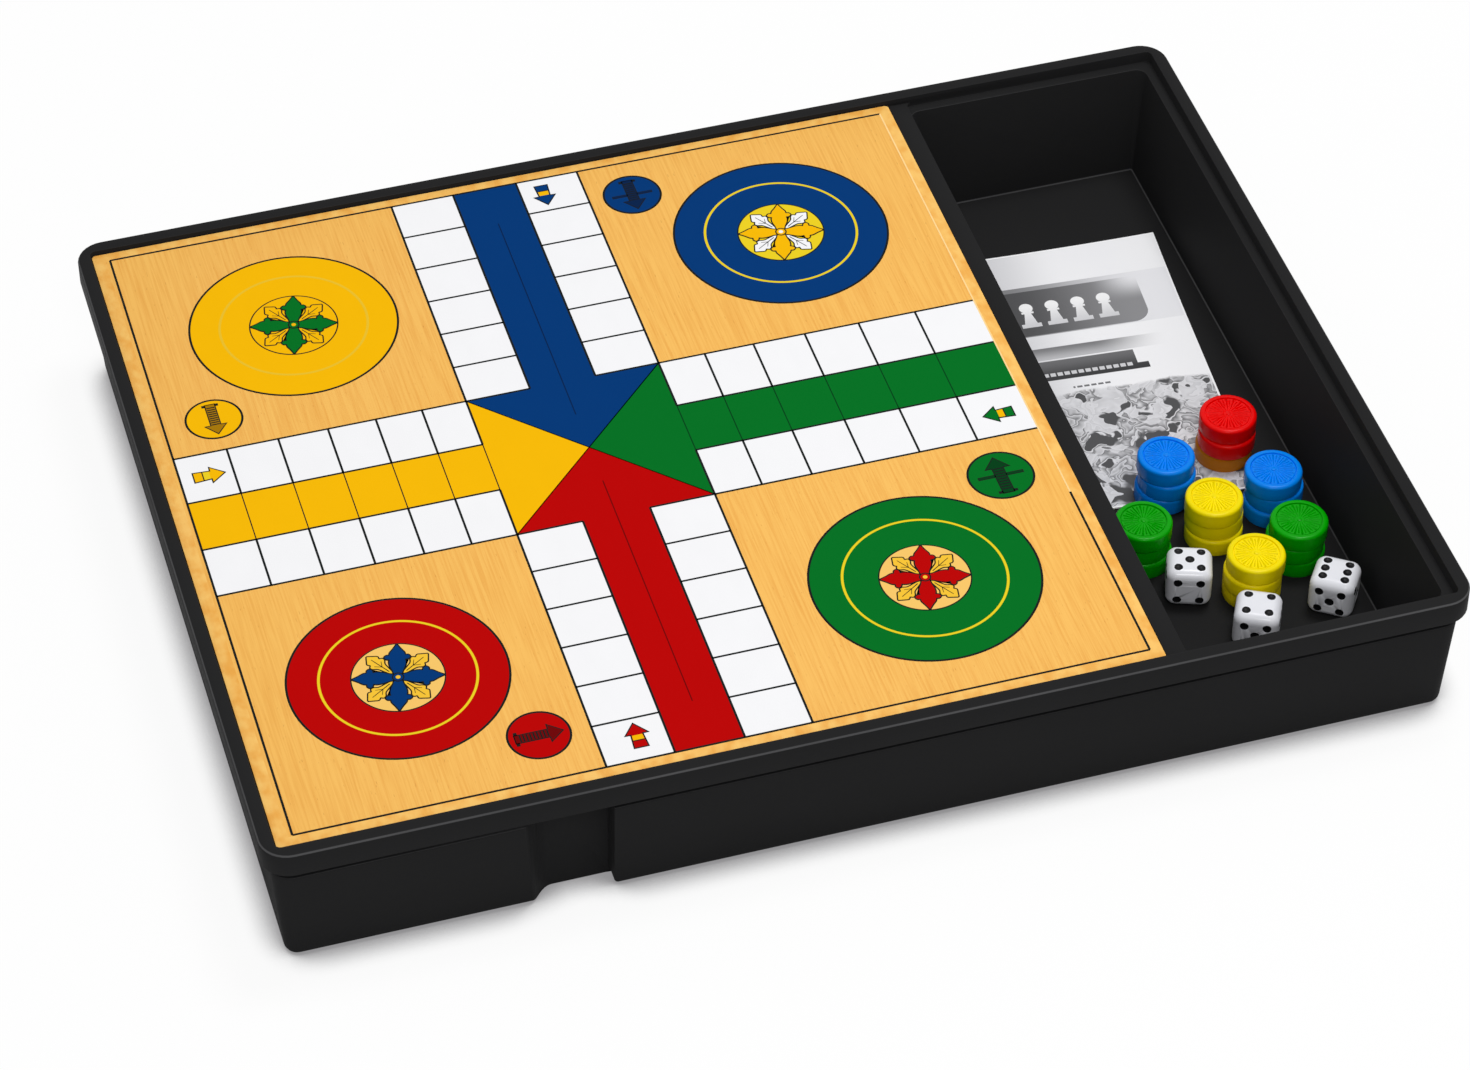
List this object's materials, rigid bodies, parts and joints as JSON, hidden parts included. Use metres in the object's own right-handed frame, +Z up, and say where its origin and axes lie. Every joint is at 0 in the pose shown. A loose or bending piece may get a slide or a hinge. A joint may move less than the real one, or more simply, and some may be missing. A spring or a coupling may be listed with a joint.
{
  "type": "ludo game box",
  "caption": "Ludo game box: shallow black moulded tray with a lift-out square playing board beside an open well that holds a leaflet, stacked counters and dice.",
  "frame": {"origin": "middle of the tray's underside, on the face that it rests on", "axes": "+X along the long side towards the well, +Y towards the back, +Z up out of the tray"},
  "size_m": [0.414, 0.311, 0.054],
  "materials": {
    "black_plastic": "satin moulded black plastic",
    "panel_wood": "light plywood edge, unvarnished",
    "printed_sheet": "light maple print with a ludo track, satin varnish",
    "paper": "folded printed paper",
    "red_counter": "moulded plastic, soft gloss",
    "amber_counter": "moulded plastic, soft gloss",
    "blue_counter": "moulded plastic, soft gloss",
    "yellow_counter": "moulded plastic, soft gloss",
    "green_counter": "moulded plastic, soft gloss",
    "white_die": "polished white plastic with black pips"
  },
  "bodies": {
    "tray": {"tray": "black_plastic"},
    "board": {"board_panel": "panel_wood", "board_face": "printed_sheet"},
    "leaflet": {"leaflet": "paper"},
    "red_counter_1": {"red_counter_1": "amber_counter"},
    "red_counter_2": {"red_counter_2": "red_counter"},
    "red_counter_3": {"red_counter_3": "red_counter"},
    "blue_left_counter_1": {"blue_left_counter_1": "blue_counter"},
    "blue_left_counter_2": {"blue_left_counter_2": "blue_counter"},
    "blue_left_counter_3": {"blue_left_counter_3": "blue_counter"},
    "blue_right_counter_1": {"blue_right_counter_1": "blue_counter"},
    "blue_right_counter_2": {"blue_right_counter_2": "blue_counter"},
    "blue_right_counter_3": {"blue_right_counter_3": "blue_counter"},
    "yellow_middle_counter_1": {"yellow_middle_counter_1": "yellow_counter"},
    "yellow_middle_counter_2": {"yellow_middle_counter_2": "yellow_counter"},
    "yellow_middle_counter_3": {"yellow_middle_counter_3": "yellow_counter"},
    "green_left_counter_1": {"green_left_counter_1": "green_counter"},
    "green_left_counter_2": {"green_left_counter_2": "green_counter"},
    "green_left_counter_3": {"green_left_counter_3": "green_counter"},
    "green_right_counter_1": {"green_right_counter_1": "green_counter"},
    "green_right_counter_2": {"green_right_counter_2": "green_counter"},
    "green_right_counter_3": {"green_right_counter_3": "green_counter"},
    "yellow_front_counter_1": {"yellow_front_counter_1": "yellow_counter"},
    "yellow_front_counter_2": {"yellow_front_counter_2": "yellow_counter"},
    "yellow_front_counter_3": {"yellow_front_counter_3": "yellow_counter"},
    "left_die": {"left_die": "white_die"},
    "middle_die": {"middle_die": "white_die"},
    "right_die": {"right_die": "white_die"}
  },
  "joints": [
    {"name": "board_lift", "type": "slide", "parent": "tray", "child": "board", "axis": [0, 0, 1], "range_m": [0, 0.06]},
    {"name": "leaflet_lift", "type": "slide", "parent": "tray", "child": "leaflet", "axis": [0, 0, 1], "range_m": [0, 0.06]},
    {"name": "red_counter_1_lift", "type": "slide", "parent": "leaflet", "child": "red_counter_1", "axis": [0, 0, 1], "range_m": [0, 0.06]},
    {"name": "red_counter_2_lift", "type": "slide", "parent": "red_counter_1", "child": "red_counter_2", "axis": [0, 0, 1], "range_m": [0, 0.06]},
    {"name": "red_counter_3_lift", "type": "slide", "parent": "red_counter_2", "child": "red_counter_3", "axis": [0, 0, 1], "range_m": [0, 0.06]},
    {"name": "blue_left_counter_1_lift", "type": "slide", "parent": "leaflet", "child": "blue_left_counter_1", "axis": [0, 0, 1], "range_m": [0, 0.06]},
    {"name": "blue_left_counter_2_lift", "type": "slide", "parent": "blue_left_counter_1", "child": "blue_left_counter_2", "axis": [0, 0, 1], "range_m": [0, 0.06]},
    {"name": "blue_left_counter_3_lift", "type": "slide", "parent": "blue_left_counter_2", "child": "blue_left_counter_3", "axis": [0, 0, 1], "range_m": [0, 0.06]},
    {"name": "blue_right_counter_1_lift", "type": "slide", "parent": "tray", "child": "blue_right_counter_1", "axis": [0, 0, 1], "range_m": [0, 0.06]},
    {"name": "blue_right_counter_2_lift", "type": "slide", "parent": "blue_right_counter_1", "child": "blue_right_counter_2", "axis": [0, 0, 1], "range_m": [0, 0.06]},
    {"name": "blue_right_counter_3_lift", "type": "slide", "parent": "blue_right_counter_2", "child": "blue_right_counter_3", "axis": [0, 0, 1], "range_m": [0, 0.06]},
    {"name": "yellow_middle_counter_1_lift", "type": "slide", "parent": "tray", "child": "yellow_middle_counter_1", "axis": [0, 0, 1], "range_m": [0, 0.06]},
    {"name": "yellow_middle_counter_2_lift", "type": "slide", "parent": "yellow_middle_counter_1", "child": "yellow_middle_counter_2", "axis": [0, 0, 1], "range_m": [0, 0.06]},
    {"name": "yellow_middle_counter_3_lift", "type": "slide", "parent": "yellow_middle_counter_2", "child": "yellow_middle_counter_3", "axis": [0, 0, 1], "range_m": [0, 0.06]},
    {"name": "green_left_counter_1_lift", "type": "slide", "parent": "tray", "child": "green_left_counter_1", "axis": [0, 0, 1], "range_m": [0, 0.06]},
    {"name": "green_left_counter_2_lift", "type": "slide", "parent": "green_left_counter_1", "child": "green_left_counter_2", "axis": [0, 0, 1], "range_m": [0, 0.06]},
    {"name": "green_left_counter_3_lift", "type": "slide", "parent": "green_left_counter_2", "child": "green_left_counter_3", "axis": [0, 0, 1], "range_m": [0, 0.06]},
    {"name": "green_right_counter_1_lift", "type": "slide", "parent": "tray", "child": "green_right_counter_1", "axis": [0, 0, 1], "range_m": [0, 0.06]},
    {"name": "green_right_counter_2_lift", "type": "slide", "parent": "green_right_counter_1", "child": "green_right_counter_2", "axis": [0, 0, 1], "range_m": [0, 0.06]},
    {"name": "green_right_counter_3_lift", "type": "slide", "parent": "green_right_counter_2", "child": "green_right_counter_3", "axis": [0, 0, 1], "range_m": [0, 0.06]},
    {"name": "yellow_front_counter_1_lift", "type": "slide", "parent": "tray", "child": "yellow_front_counter_1", "axis": [0, 0, 1], "range_m": [0, 0.06]},
    {"name": "yellow_front_counter_2_lift", "type": "slide", "parent": "yellow_front_counter_1", "child": "yellow_front_counter_2", "axis": [0, 0, 1], "range_m": [0, 0.06]},
    {"name": "yellow_front_counter_3_lift", "type": "slide", "parent": "yellow_front_counter_2", "child": "yellow_front_counter_3", "axis": [0, 0, 1], "range_m": [0, 0.06]},
    {"name": "left_die_lift", "type": "slide", "parent": "tray", "child": "left_die", "axis": [0, 0, 1], "range_m": [0, 0.06]},
    {"name": "middle_die_lift", "type": "slide", "parent": "tray", "child": "middle_die", "axis": [0, 0, 1], "range_m": [0, 0.06]},
    {"name": "right_die_lift", "type": "slide", "parent": "tray", "child": "right_die", "axis": [0, 0, 1], "range_m": [0, 0.06]}
  ]
}
